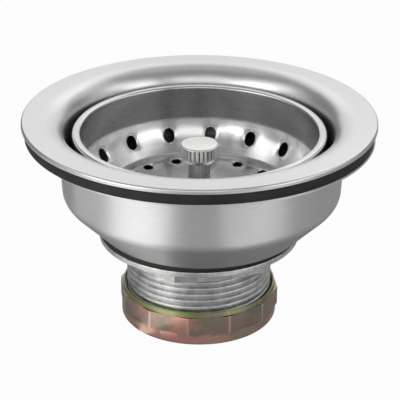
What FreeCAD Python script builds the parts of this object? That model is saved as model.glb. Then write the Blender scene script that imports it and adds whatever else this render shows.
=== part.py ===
"""Kitchen sink drain: a basket strainer whose clamping cup closes round the bowl from below.

Millimetres, +Z up. The origin is the middle of the coupling nut's bottom face, on which the
drain stands, and +Z runs up the waterway to the flange. The front of the object is -Y.
"""
import FreeCAD, Part
import math
import os
from FreeCAD import Vector

# Driving dimensions: flanged bowl
throat_diameter = 86.6
throat_lip_radius = 10.0
flange_flat_width = 3.85         # flat ring outside the curve into the throat
flange_edge_depth = 1.6          # folded edge, which bears on the sink deck
flange_edge_width = 2.8
bowl_sheet = 0.8
bowl_shoulder_inset = 1.0        # how far the throat narrows down to the shoulder
bowl_shoulder_height = 6.6       # height over which it narrows
bowl_floor_inset = 2.7           # floor corner, inside the cup's floor corner
bowl_floor_bend = 3.0
bowl_shoulder_bend = 4.0
bowl_throat_bend = 3.0
flange_edge_bend = 0.7
flange_fold_bend = 0.4
flange_fold_tip_bend = 0.2

# Driving dimensions: sink gasket and clamping cup
gasket_inset = 0.95              # behind the flange's edge
gasket_thickness = 3.75
gasket_bowl_clearance = 0.5
gasket_edge_round = 0.4
cup_sheet = 0.7
cup_height = 32.65
cup_lip_inset = 1.45             # behind the flange's edge
cup_bowl_clearance = 0.8         # at the mouth, on the side where the cup has settled
cup_wall_taper = 1.1             # from the mouth down to the waist, where the cone starts
cup_cone_angle = 45.0
cup_floor_width = 9.3            # flat floor outside the thread, which the washer presses on
cup_hole_clearance = 0.2
cup_mouth_bend = 1.5
cup_waist_bend = 5.0
cup_bottom_bend = 1.2
cup_side_play = 0.8              # the loose cup has settled this far towards +X
cup_floor_gap = 1.1              # between the bowl's floor and the cup's floor

# Driving dimensions: threaded spud and its seal
spud_diameter = 47.8             # crest of the straight pipe thread
spud_wall = 3.5
spud_free_length = 19.2          # from the spud's end up to the locknut
spud_end_chamfer = 0.8
spud_mouth_flare = 0.8
spud_mouth_depth = 1.6
spud_flange_inset = 1.3          # inside the flat of the bowl's floor
spud_flange_thickness = 1.6
spud_flange_round = 0.4
spud_seal_thickness = 1.0
spud_seal_inset = 0.3
crossbar_count = 4
crossbar_bearing = 45.0
crossbar_width = 3.0
crossbar_height = 5.0
crossbar_drop = 4.6              # from the sealing face down to the crossbars
hub_wall = 2.7
hub_height = 9.0
running_clearance = 0.05         # nut bores over the thread crest
slide_clearance = 0.3            # loose rings over the thread crest

# Driving dimensions: locknut and its washer
locknut_washer_inset = 0.6       # inside the cup's floor corner
locknut_washer_thickness = 1.65
locknut_washer_round = 0.3
locknut_height = 6.65
locknut_flange_overhang = 0.25   # past the washer
locknut_flange_thickness = 1.75
locknut_flange_slope = 1.2       # height of the cone from the flange in to the hexagon
locknut_wall = 2.1               # at the middle of a flat
locknut_corner_chamfer = 1.2
locknut_rim_round = 0.3
locknut_bearing = -104.8         # bearing of one corner, in degrees from +X

# Driving dimensions: coupling nut and tailpiece washer
coupling_nut_sides = 12
coupling_nut_wall = 1.8          # round skirt outside the thread
coupling_nut_corner_rise = 0.7   # corners outside the skirt
coupling_nut_facet_base = 4.0
coupling_nut_facet_height = 6.25
coupling_nut_facet_relief = 0.12 # round core behind the middle of a flat
coupling_nut_corner_chamfer = 0.25
coupling_nut_bevel_height = 1.45
coupling_nut_skirt_round = 1.4
coupling_nut_mouth_flare = 0.85
coupling_nut_mouth_depth = 1.6
coupling_nut_rim_width = 0.4
coupling_nut_bearing = -97.5     # bearing of one corner, in degrees from +X
coupling_nut_lip_thickness = 2.5
coupling_nut_lip_overhang = 0.8  # inside the spud's bore, with room for a 38.1 tube
tailpiece_washer_thickness = 2.0
tailpiece_washer_play = 0.6

# Driving dimensions: strainer basket
basket_sheet = 0.6
basket_throat_gap = 2.2
basket_rim_drop = 4.6            # rim below the flange's top face
basket_rim_width = 2.75
basket_rim_skirt = 2.2
basket_rim_bend = 1.0
basket_mouth_bend = 0.9
basket_wall_taper = 0.25         # from the mouth down to the crease
basket_crease_height = 10.8      # above the floor
basket_crease_bend = 1.5
basket_bulge_inset = 1.1         # bulge inside the crease
basket_bulge_height = 6.4
basket_bulge_bend = 8.0
basket_floor_inset = 4.5         # floor corner inside the bulge
basket_floor_bend = 1.0
basket_pan_inset = 4.1           # sunken middle inside the floor corner
basket_pan_depth = 0.35
basket_pan_bend = 0.3
hole_count = 16
hole_bearing = 84.15             # bearing of the first hole, in degrees from +X
wall_hole_width = 3.9
wall_hole_length = 5.1
wall_hole_drop = 1.2             # middle of the hole below the bulge, along the wall
floor_hole_diameter = 3.3
floor_hole_inset = 5.2           # inside the floor corner

# Driving dimensions: knob, post and stopper
stem_diameter = 6.0
stem_clearance = 0.05
stem_tip_chamfer = 0.8
stem_tip_reach = 1.6             # how far the tip stands out below the hub
post_shoulder = 0.55
post_thread_step = 0.6
knob_foot_rim = 1.05
knob_overhang = 1.82
knob_grip_height = 4.0
knob_taper_height = 2.0
knob_rim_bevel = 0.4
knob_grip_round = 0.2
knob_foot_round = 0.3
knob_top_drop = 9.5              # knob top below the flange's top face
knob_groove_count = 28
knob_groove_depth = 0.45
knob_groove_share = 0.45         # groove width as a share of the pitch
knob_socket_depth = 3.6
knob_socket_gap = 0.4            # above the post's end
hub_bore_clearance = 0.5
grip_ring_height = 1.6
grip_ring_depth = 0.6
grip_ring_above_tip = 4.6
grip_ring_round = 0.5
stopper_height = 4.25
stopper_seat_inset = 2.0         # inside the spud's flange
stopper_web = 2.3
stopper_skirt_width = 4.2
stopper_shoulder = 2.0
stopper_shoulder_round = 0.5
stopper_web_round = 0.8
stopper_lip_round = 0.4
stopper_plate_inset = 4.0
stopper_plate_thickness = 0.8
stopper_nut_wall = 2.0
stopper_nut_height = 2.4
stopper_washer_rim = 3.0
stopper_washer_thickness = 0.8

# Levels, worked out from the stack that stands on the coupling nut
spud_end_z = coupling_nut_lip_thickness + tailpiece_washer_thickness
coupling_nut_facet_top = coupling_nut_facet_base + coupling_nut_facet_height
coupling_nut_height = coupling_nut_facet_top + coupling_nut_bevel_height
locknut_z = spud_end_z + spud_free_length
locknut_washer_z = locknut_z + locknut_height
cup_z = locknut_washer_z + locknut_washer_thickness
gasket_z = cup_z + cup_height
flange_edge_z = gasket_z + gasket_thickness
flange_top_z = flange_edge_z + flange_edge_depth
bowl_z = cup_z + cup_sheet + cup_floor_gap
spud_seal_z = bowl_z + bowl_sheet
spud_flange_z = spud_seal_z + spud_seal_thickness
seat_z = spud_flange_z + spud_flange_thickness
hub_top_z = seat_z - crossbar_drop
stopper_plate_z = seat_z + stopper_height
stopper_web_z = stopper_plate_z - stopper_web
stopper_washer_z = stopper_web_z - stopper_washer_thickness
stopper_nut_z = stopper_washer_z - stopper_nut_height
basket_pan_z = stopper_plate_z + stopper_plate_thickness + basket_sheet
basket_floor_z = basket_pan_z + basket_pan_depth
basket_bulge_z = basket_floor_z + basket_bulge_height
basket_crease_z = basket_floor_z + basket_crease_height
basket_rim_z = flange_top_z - basket_rim_drop
knob_top_z = flange_top_z - knob_top_drop
knob_grip_z = knob_top_z - knob_grip_height
knob_foot_z = knob_grip_z - knob_taper_height
stem_tip_z = hub_top_z - hub_height - stem_tip_reach
grip_ring_z = stem_tip_z + grip_ring_above_tip

# Radii, worked outwards from the thread and the throat
spud_radius = spud_diameter / 2
spud_bore_radius = spud_radius - spud_wall
nut_bore_radius = spud_radius + running_clearance
loose_ring_radius = spud_radius + slide_clearance
tailpiece_hole_radius = spud_bore_radius - coupling_nut_lip_overhang
throat_radius = throat_diameter / 2
flange_radius = throat_radius + throat_lip_radius + flange_flat_width
cup_bottom_radius = spud_radius + cup_floor_width
cup_mouth_radius = throat_radius + bowl_sheet + cup_side_play + cup_bowl_clearance + cup_sheet
cup_waist_radius = cup_mouth_radius - cup_wall_taper
bowl_floor_radius = cup_bottom_radius - bowl_floor_inset
bowl_shoulder_radius = throat_radius - bowl_shoulder_inset
cone_slope = math.tan(math.radians(cup_cone_angle))
bowl_bend_reach = bowl_floor_bend * math.tan(math.radians(cup_cone_angle / 2))
spud_flange_radius = bowl_floor_radius - bowl_bend_reach - spud_flange_inset
washer_radius = cup_bottom_radius - locknut_washer_inset
stopper_radius = spud_flange_radius - stopper_seat_inset
stem_radius = stem_diameter / 2
stem_hole_radius = stem_radius + stem_clearance
hub_bore_radius = stem_radius + hub_bore_clearance
post_radius = stem_radius + post_shoulder
post_thread_radius = stem_radius - post_thread_step
knob_foot_radius = post_radius + knob_foot_rim
knob_radius = knob_foot_radius + knob_overhang
basket_rim_radius = throat_radius - basket_throat_gap
basket_mouth_radius = basket_rim_radius - basket_rim_width
basket_crease_radius = basket_mouth_radius - basket_wall_taper
basket_bulge_radius = basket_crease_radius - basket_bulge_inset
basket_floor_radius = basket_bulge_radius - basket_floor_inset
basket_pan_radius = basket_floor_radius - basket_pan_inset

AXIS = Vector(0, 0, 1)
ORIGIN = Vector(0, 0, 0)


def unit(start, end):
    """Direction from one (r, z) point to another."""
    run, rise = end[0] - start[0], end[1] - start[1]
    length = math.hypot(run, rise)
    return run / length, rise / length


def rounded_wire(corners):
    """Closed wire in the XZ plane through (r, z, bend radius) corners."""
    count = len(corners)
    arcs = []
    for index in range(count):
        here, bend = corners[index][:2], corners[index][2]
        back = unit(here, corners[index - 1])
        ahead = unit(here, corners[(index + 1) % count])
        point = Vector(here[0], 0, here[1])
        if bend <= 0:
            arcs.append((point, None, point))
            continue
        half_angle = math.acos(max(-1.0, min(1.0, back[0] * ahead[0] + back[1] * ahead[1]))) / 2
        cut = bend / math.tan(half_angle)
        start = point + Vector(back[0], 0, back[1]) * cut
        end = point + Vector(ahead[0], 0, ahead[1]) * cut
        to_centre = Vector(back[0] + ahead[0], 0, back[1] + ahead[1]).normalize()
        middle = point + to_centre * (bend / math.sin(half_angle) - bend)
        arcs.append((start, middle, end))
    edges = []
    for index, (start, middle, end) in enumerate(arcs):
        if middle is not None:
            edges.append(Part.Arc(start, middle, end).toShape())
        following = arcs[(index + 1) % count][0]
        if end.distanceToPoint(following) > 1e-6:
            edges.append(Part.LineSegment(end, following).toShape())
    return Part.Wire(edges)


def turned(corners):
    """Solid turned about the axis from a closed outline of (r, z, bend radius) corners."""
    return Part.Face(rounded_wire(corners)).revolve(ORIGIN, AXIS, 360)


def ring(inner_radius, outer_radius, bottom, height, edge_round=0.0):
    """Flat ring with its outer edges rounded."""
    top = bottom + height
    return turned([
        (inner_radius, bottom, 0), (outer_radius, bottom, edge_round),
        (outer_radius, top, edge_round), (inner_radius, top, 0)])


def offset_path(path, distance):
    """The open (r, z, bend) path moved to its left, with the bends kept concentric."""
    headings = [unit(path[i], path[i + 1]) for i in range(len(path) - 1)]
    moved = []
    for index, (radius, level, bend) in enumerate(path):
        before = headings[max(index - 1, 0)]
        after = headings[min(index, len(headings) - 1)]
        normal_before = (-before[1], before[0])
        normal_after = (-after[1], after[0])
        along = 1 + normal_before[0] * normal_after[0] + normal_before[1] * normal_after[1]
        turn_left = before[0] * after[1] - before[1] * after[0] > 0
        new_bend = bend - distance if turn_left else bend + distance
        moved.append((
            radius + distance * (normal_before[0] + normal_after[0]) / along,
            level + distance * (normal_before[1] + normal_after[1]) / along,
            max(new_bend, 0.0) if bend > 0 else 0.0))
    return moved


def pressed_sheet(path, thickness):
    """Sheet pressing turned from one skin's path, with its other skin to the path's left."""
    return turned(path + offset_path(path, thickness)[::-1])


def polygon_prism(sides, corner_radius, first_bearing, bottom, height):
    """Upright prism with its first corner at the given bearing."""
    points = []
    for index in range(sides + 1):
        bearing = math.radians(first_bearing + 360 / sides * index)
        points.append(Vector(corner_radius * math.cos(bearing), corner_radius * math.sin(bearing), bottom))
    return Part.Face(Part.makePolygon(points)).extrude(Vector(0, 0, height))


def round_pattern(shape, count, first_bearing):
    """Copies of a shape, made at bearing 0, turned round the axis."""
    copies = []
    for index in range(count):
        copy = shape.copy()
        copy.rotate(ORIGIN, AXIS, first_bearing + 360 / count * index)
        copies.append(copy)
    return copies


def bowl_lip_radius(level):
    """Radius of the flange's lower skin where it curves into the throat."""
    skin_bend = throat_lip_radius - bowl_sheet
    rise = level - (flange_top_z - throat_lip_radius)
    return throat_radius + throat_lip_radius - math.sqrt(skin_bend ** 2 - rise ** 2)


def flanged_bowl():
    """Flange, throat and bowl pressed from one sheet, with the flange's edge folded under."""
    shoulder_z = spud_seal_z + (bowl_shoulder_radius - bowl_floor_radius) * cone_slope
    path = [
        (flange_radius, flange_top_z, flange_edge_bend),
        (throat_radius, flange_top_z, throat_lip_radius),
        (throat_radius, shoulder_z + bowl_shoulder_height, bowl_throat_bend),
        (bowl_shoulder_radius, shoulder_z, bowl_shoulder_bend),
        (bowl_floor_radius, spud_seal_z, bowl_floor_bend),
        (loose_ring_radius, spud_seal_z, 0)]
    under_side = offset_path(path, bowl_sheet)[1:]
    fold_radius = flange_radius - flange_edge_width
    fold = [
        (fold_radius, flange_top_z - bowl_sheet, 0),
        (fold_radius, flange_edge_z, flange_fold_tip_bend),
        (flange_radius, flange_edge_z, flange_fold_bend)]
    return turned(path + under_side[::-1] + fold)


def sink_gasket():
    """Thick rubber ring between the sink and the clamping cup's lip."""
    inner = bowl_lip_radius(flange_edge_z) + gasket_bowl_clearance
    return ring(inner, flange_radius - gasket_inset, gasket_z, gasket_thickness, gasket_edge_round)


def clamping_cup():
    """Outer cup, whose lip pushes the gasket up and whose floor the locknut lifts."""
    lip_under = gasket_z - cup_sheet
    waist_z = cup_z + (cup_waist_radius - cup_bottom_radius) * cone_slope
    path = [
        (loose_ring_radius + cup_side_play + cup_hole_clearance, cup_z, 0),
        (cup_bottom_radius, cup_z, cup_bottom_bend),
        (cup_waist_radius, waist_z, cup_waist_bend),
        (cup_mouth_radius, lip_under, cup_mouth_bend),
        (flange_radius - cup_lip_inset, lip_under, 0)]
    cup = pressed_sheet(path, cup_sheet)
    cup.translate(Vector(cup_side_play, 0, 0))
    return cup


def threaded_spud():
    """Cast spud: sealing flange, threaded tube, and crossbars that carry the post's hub."""
    tube = turned([
        (spud_bore_radius, spud_end_z, 0),
        (spud_radius - spud_end_chamfer, spud_end_z, 0),
        (spud_radius, spud_end_z + spud_end_chamfer, 0),
        (spud_radius, spud_flange_z, 0),
        (spud_flange_radius, spud_flange_z, 0),
        (spud_flange_radius, seat_z, spud_flange_round),
        (spud_bore_radius + spud_mouth_flare, seat_z, 0),
        (spud_bore_radius, seat_z - spud_mouth_depth, 0)])
    bar = Part.makeBox(
        spud_bore_radius + spud_wall / 2, crossbar_width, crossbar_height,
        Vector(0, -crossbar_width / 2, hub_top_z - crossbar_height))
    hub_radius = hub_bore_radius + hub_wall
    hub = Part.makeCylinder(hub_radius, hub_height, Vector(0, 0, hub_top_z - hub_height))
    bore = Part.makeCylinder(hub_bore_radius, hub_height * 2, Vector(0, 0, hub_top_z - hub_height * 1.5))
    bars = round_pattern(bar, crossbar_count, crossbar_bearing)
    return tube.fuse(bars + [hub]).cut(bore).removeSplitter()


def spud_seal():
    """Thin seal under the spud's flange, on the bowl's floor."""
    return ring(
        loose_ring_radius, spud_flange_radius - spud_seal_inset, spud_seal_z, spud_seal_thickness)


def locknut_washer():
    """Rubber washer between the locknut and the clamping cup."""
    return ring(
        loose_ring_radius, washer_radius, locknut_washer_z, locknut_washer_thickness, locknut_washer_round)


def locknut():
    """Cast locknut: a round bearing flange over a low hexagon with chamfered corners."""
    flange_z = locknut_washer_z - locknut_flange_thickness
    flange_rim = washer_radius + locknut_flange_overhang
    flat_radius = nut_bore_radius + locknut_wall
    corner_radius = flat_radius / math.cos(math.pi / 6)
    chamfered = turned([
        (0, locknut_z, 0),
        (flat_radius, locknut_z, 0),
        (corner_radius, locknut_z + locknut_corner_chamfer, 0),
        (corner_radius, locknut_washer_z, 0),
        (0, locknut_washer_z, 0)])
    hexagon = polygon_prism(6, corner_radius, locknut_bearing, locknut_z, locknut_height)
    flange = turned([
        (0, flange_z - locknut_flange_slope, 0),
        (flat_radius, flange_z - locknut_flange_slope, 0),
        (flange_rim, flange_z, locknut_rim_round),
        (flange_rim, locknut_washer_z, locknut_rim_round),
        (0, locknut_washer_z, 0)])
    bore = Part.makeCylinder(
        nut_bore_radius, locknut_height * 2, Vector(0, 0, locknut_z - locknut_height / 2))
    return hexagon.common(chamfered).fuse(flange).cut(bore).removeSplitter()


def coupling_nut():
    """Twelve-sided slip nut with a bevelled mouth and an inward lip that holds the tailpiece."""
    skirt_radius = nut_bore_radius + coupling_nut_wall
    corner_radius = skirt_radius + coupling_nut_corner_rise
    mouth_radius = nut_bore_radius + coupling_nut_mouth_flare
    core_radius = corner_radius * math.cos(math.pi / coupling_nut_sides) - coupling_nut_facet_relief
    chamfer = coupling_nut_corner_chamfer
    facets = polygon_prism(
        coupling_nut_sides, corner_radius, coupling_nut_bearing, coupling_nut_facet_base,
        coupling_nut_facet_height)
    facets = facets.common(turned([
        (0, coupling_nut_facet_base, 0),
        (corner_radius - chamfer, coupling_nut_facet_base, 0),
        (corner_radius, coupling_nut_facet_base + chamfer, 0),
        (corner_radius, coupling_nut_facet_top - chamfer, 0),
        (corner_radius - chamfer, coupling_nut_facet_top, 0),
        (0, coupling_nut_facet_top, 0)]))
    body = turned([
        (0, 0, 0),
        (skirt_radius, 0, coupling_nut_skirt_round),
        (skirt_radius, coupling_nut_facet_base, 0),
        (core_radius, coupling_nut_facet_base, 0),
        (core_radius, coupling_nut_facet_top, 0),
        (mouth_radius + coupling_nut_rim_width, coupling_nut_height, 0),
        (0, coupling_nut_height, 0)])
    below = -coupling_nut_lip_thickness
    above = coupling_nut_height + coupling_nut_mouth_depth
    hollow = turned([
        (0, below, 0),
        (tailpiece_hole_radius, below, 0),
        (tailpiece_hole_radius, coupling_nut_lip_thickness, 0),
        (nut_bore_radius, coupling_nut_lip_thickness, 0),
        (nut_bore_radius, coupling_nut_height - coupling_nut_mouth_depth, 0),
        (mouth_radius, coupling_nut_height, 0),
        (mouth_radius, above, 0),
        (0, above, 0)])
    return body.fuse(facets).cut(hollow).removeSplitter()


def tailpiece_washer():
    """Flat washer between the spud's end and the tailpiece's flange."""
    return ring(
        spud_bore_radius, nut_bore_radius - tailpiece_washer_play, coupling_nut_lip_thickness,
        tailpiece_washer_thickness)


def wall_hole():
    """Cutter for an oval hole square to the basket's lower wall, at bearing 0."""
    bulge = (basket_bulge_radius, basket_bulge_z)
    down = unit(bulge, (basket_floor_radius, basket_floor_z))
    wall_slope = math.degrees(math.atan2(-down[1], -down[0]))
    reach = 8 * basket_sheet
    ellipse = Part.Ellipse(ORIGIN, wall_hole_length / 2, wall_hole_width / 2)
    cutter = Part.Face(Part.Wire(ellipse.toShape())).extrude(Vector(0, 0, 2 * reach))
    cutter.translate(Vector(0, 0, -reach))
    cutter.rotate(ORIGIN, Vector(0, 1, 0), -wall_slope)
    cutter.translate(Vector(bulge[0] + down[0] * wall_hole_drop, 0, bulge[1] + down[1] * wall_hole_drop))
    return cutter


def basket_cup():
    """Drawn strainer basket with a turned-down rim and two rings of punched holes."""
    path = [
        (basket_rim_radius, basket_rim_z - basket_rim_skirt, 0),
        (basket_rim_radius, basket_rim_z, basket_rim_bend),
        (basket_mouth_radius, basket_rim_z, basket_mouth_bend),
        (basket_crease_radius, basket_crease_z, basket_crease_bend),
        (basket_bulge_radius, basket_bulge_z, basket_bulge_bend),
        (basket_floor_radius, basket_floor_z, basket_floor_bend),
        (basket_pan_radius, basket_floor_z, basket_pan_bend),
        (basket_pan_radius - basket_pan_depth, basket_pan_z, basket_pan_bend),
        (stem_hole_radius, basket_pan_z, 0)]
    cup = pressed_sheet(path, basket_sheet)
    floor_hole = Part.makeCylinder(
        floor_hole_diameter / 2, 6 * basket_sheet,
        Vector(basket_floor_radius - floor_hole_inset, 0, basket_floor_z - 3 * basket_sheet))
    cutters = round_pattern(wall_hole(), hole_count, hole_bearing)
    cutters += round_pattern(floor_hole, hole_count, hole_bearing)
    return cup.cut(cutters)


def knob():
    """Pull knob with a straight-grooved grip, a bevelled rim and a tapered foot."""
    blank = turned([
        (0, knob_foot_z, 0),
        (knob_foot_radius, knob_foot_z, knob_foot_round),
        (knob_radius, knob_grip_z, knob_grip_round),
        (knob_radius, knob_top_z, knob_rim_bevel),
        (0, knob_top_z, 0)])
    half_width = math.pi * knob_radius / knob_groove_count * knob_groove_share
    bottom = Vector(knob_radius - knob_groove_depth, 0, knob_foot_z)
    groove = Part.Face(Part.makePolygon([
        bottom,
        Vector(knob_radius + knob_groove_depth / 2, -half_width, knob_foot_z),
        Vector(knob_radius + knob_groove_depth / 2, half_width, knob_foot_z),
        bottom]))
    groove = groove.extrude(Vector(0, 0, knob_top_z - knob_rim_bevel - knob_foot_z))
    socket = Part.makeCylinder(
        post_thread_radius + stem_clearance, knob_socket_depth, Vector(0, 0, knob_foot_z))
    return blank.cut(round_pattern(groove, knob_groove_count, 90) + [socket])


def lift_post():
    """Turned post: screwed into the knob, shouldered on the basket's floor, tip in the hub."""
    groove_radius = stem_radius - grip_ring_depth
    thread_top = knob_foot_z + knob_socket_depth - knob_socket_gap
    return turned([
        (0, stem_tip_z, 0),
        (stem_radius - stem_tip_chamfer, stem_tip_z, 0),
        (stem_radius, stem_tip_z + stem_tip_chamfer, 0),
        (stem_radius, grip_ring_z, 0),
        (groove_radius, grip_ring_z, 0),
        (groove_radius, grip_ring_z + grip_ring_height, 0),
        (stem_radius, grip_ring_z + grip_ring_height, 0),
        (stem_radius, basket_pan_z, 0),
        (post_radius, basket_pan_z, 0),
        (post_radius, knob_foot_z, 0),
        (post_thread_radius, knob_foot_z, 0),
        (post_thread_radius, thread_top, 0),
        (0, thread_top, 0)])


def grip_ring():
    """Rubber ring in the post's groove, which grips the hub so that the basket stays raised."""
    outer = hub_bore_radius - stem_clearance
    return ring(stem_radius - grip_ring_depth, outer, grip_ring_z, grip_ring_height, grip_ring_round)


def stopper_plate():
    """Stiffening disc between the basket's floor and the rubber stopper."""
    return ring(
        stem_hole_radius, stopper_radius - stopper_plate_inset, stopper_plate_z, stopper_plate_thickness)


def stopper():
    """Rubber stopper: a web clamped under the basket and a skirt that seals on the spud."""
    skirt_inner = stopper_radius - stopper_skirt_width
    return turned([
        (stem_hole_radius, stopper_web_z, 0),
        (skirt_inner, stopper_web_z, stopper_web_round),
        (skirt_inner, seat_z, 0),
        (stopper_radius, seat_z, stopper_lip_round),
        (stopper_radius, stopper_web_z, 0),
        (stopper_radius - stopper_shoulder, stopper_plate_z, stopper_shoulder_round),
        (stem_hole_radius, stopper_plate_z, 0)])


def stopper_nut_flat():
    """Half the stopper nut's width across flats."""
    return stem_hole_radius + stopper_nut_wall


def stopper_washer():
    """Washer between the stopper and its nut."""
    outer = stopper_nut_flat() + stopper_washer_rim
    return ring(stem_hole_radius, outer, stopper_washer_z, stopper_washer_thickness)


def stopper_nut():
    """Hexagon nut that holds the stopper on the post."""
    corner_radius = stopper_nut_flat() / math.cos(math.pi / 6)
    nut = polygon_prism(6, corner_radius, 0, stopper_nut_z, stopper_nut_height)
    bore = Part.makeCylinder(
        stem_hole_radius, stopper_nut_height * 2, Vector(0, 0, stopper_nut_z - stopper_nut_height / 2))
    return nut.cut(bore)


PIECES = [
    flanged_bowl, sink_gasket, clamping_cup, threaded_spud, spud_seal, locknut_washer, locknut,
    coupling_nut, tailpiece_washer, basket_cup, knob, lift_post, grip_ring, stopper_plate, stopper,
    stopper_washer, stopper_nut]


def main():
    os.makedirs("parts", exist_ok=True)
    for piece in PIECES:
        shape = piece()
        shape.exportStep("parts/%s.step" % piece.__name__)
        box = shape.BoundBox
        print("%-18s valid %s solids %d volume %9.1f  z %.2f to %.2f" % (
            piece.__name__, shape.isValid(), len(shape.Solids), shape.Volume, box.ZMin, box.ZMax))


main()
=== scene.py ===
"""Looks of a kitchen sink drain: its finely shaped pieces, its finishes and its stage."""
import collections
import contextlib
import math

import bmesh
import bpy
from mathutils import Matrix, Vector


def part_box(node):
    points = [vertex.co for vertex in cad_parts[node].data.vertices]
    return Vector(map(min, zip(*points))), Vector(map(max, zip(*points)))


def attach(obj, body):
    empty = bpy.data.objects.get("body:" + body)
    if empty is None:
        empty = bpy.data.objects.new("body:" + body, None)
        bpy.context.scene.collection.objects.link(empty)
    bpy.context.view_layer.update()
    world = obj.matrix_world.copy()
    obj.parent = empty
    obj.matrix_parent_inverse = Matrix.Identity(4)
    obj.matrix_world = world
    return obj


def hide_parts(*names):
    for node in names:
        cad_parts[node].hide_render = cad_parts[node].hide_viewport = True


bl_info = {
    "name": "Sink drain looks",
    "version": (1, 0, 0),
    "blender": (4, 5, 0),
    "location": "View3D > Sidebar > Drain",
    "description": "Dresses the kitchen sink drain and sets its stage",
    "category": "Object",
}

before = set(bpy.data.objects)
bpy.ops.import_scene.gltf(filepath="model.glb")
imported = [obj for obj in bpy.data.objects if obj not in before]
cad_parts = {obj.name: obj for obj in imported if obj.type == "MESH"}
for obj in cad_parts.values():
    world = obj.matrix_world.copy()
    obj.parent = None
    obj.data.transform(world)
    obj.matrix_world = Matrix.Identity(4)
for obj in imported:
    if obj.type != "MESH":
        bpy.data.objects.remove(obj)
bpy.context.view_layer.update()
TURN = 2 * math.pi
MM = 0.001
FLANGE_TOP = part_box("flanged_bowl")[1].z
SPUD_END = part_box("threaded_spud")[0].z
SPUD_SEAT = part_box("threaded_spud")[1].z
HAIR = 1e-6                        # points closer than this are the same point
STEPS = 192                        # facets round a turned piece
NUT_SIDES = 12                     # corners round the coupling nut
NUT_CORNER = math.radians(-97.5)   # bearing of one of them
NUT_SKIRT = (2.6, 4.6)             # levels in mm between which the nut's skirt turns to flats
NUT_BEVEL = (10.1, 10.4)           # levels in mm between which its bevel starts
PINK_SIDE = math.radians(-110)     # bearing at which its film is pinkest
FILM_MIDDLE = 0.44                 # its film's mean, from 0 at the thinnest to 1 at the thickest

# Skins of the pressed sheets, as (radius, level, bend) corners in millimetres. The sheet lies
# to the left of its skin. The bend into the bowl's throat is tighter than in the solids, and
# the bend of the basket's bulge is softer.
BOWL_SKIN = [
    (54.35, 68.4, 0), (57.15, 68.4, 0.4), (57.15, 70.0, 0.7), (43.3, 70.0, 7.0),
    (43.3, 53.0, 3.0), (42.3, 46.4, 4.0), (30.5, 34.6, 3.0), (24.2, 34.6, 0)]
CUP_SKIN = [
    (25.2, 32.0, 0), (33.2, 32.0, 1.2), (45.3, 44.1, 5.0), (46.4, 63.95, 1.5), (55.7, 63.95, 0)]
BASKET_SKIN = [
    (41.1, 63.2, 0), (41.1, 65.4, 1.0), (38.35, 65.4, 0.9), (38.1, 54.0, 1.5), (37.0, 49.6, 15.0),
    (32.5, 43.2, 1.0), (28.4, 43.2, 0.3), (28.05, 42.85, 0.3), (3.05, 42.85, 0)]


def length(name, description, millimetres):
    return bpy.props.FloatProperty(
        name=name, description=description, default=millimetres * MM, unit="LENGTH", precision=6)


def turn(name, description, degrees):
    return bpy.props.FloatProperty(
        name=name, description=description, default=math.radians(degrees), unit="ROTATION")


def colour(name, description, shade):
    return bpy.props.FloatVectorProperty(
        name=name, description=description, default=shade, size=3, min=0.0, max=1.0,
        subtype="COLOR")


class DrainSizes(bpy.types.PropertyGroup):
    """Sizes of the fine shapes"""

    thread_lead: length("Thread lead", "Rise of the spud's thread in one turn", 25.4 / 11.5)
    thread_crest: length("Thread crest", "Radius over the thread's crests", 23.9)
    thread_depth: length("Thread depth", "Depth of the thread's grooves", 0.85)
    thread_land: length("Thread land", "Width of a crest's flat", 1.15)
    spud_bore: length("Spud bore", "Radius of the spud's bore", 20.4)
    cast_edge: length("Cast edge", "Softening of the cast nuts' edges", 0.22)
    bowl_sheet: length("Bowl sheet", "Thickness of the flanged bowl's sheet", 0.8)
    cup_sheet: length("Cup sheet", "Thickness of the clamping cup's sheet", 0.7)
    cup_shift: length("Cup shift", "How far the loose cup has settled to one side", 0.8)
    basket_sheet: length("Basket sheet", "Thickness of the basket's sheet", 0.6)
    wall_hole_width: length("Wall hole width", "Width of the oval holes", 3.9)
    wall_hole_length: length("Wall hole length", "Length of the oval holes down the wall", 5.1)
    wall_hole_drop: length("Wall hole drop", "Middle of an oval hole, down from the bulge", 1.2)
    floor_hole_width: length("Floor hole width", "Diameter of the round holes", 3.3)
    floor_hole_circle: length("Floor hole circle", "Radius at which the round holes lie", 27.3)
    first_hole: turn("First hole", "Bearing of the first hole", 84.15)
    hole_roll: length("Hole roll", "How far the punch draws a hole's edge down", 0.22)
    hole_dimple: length("Hole dimple", "How far the sheet sinks round a hole", 0.16)
    moulded_edge: length("Moulded edge", "Softening of the rubber pieces' edges", 0.15)
    turned_edge: length("Turned edge", "Softening of the turned pieces' edges", 0.08)


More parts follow.
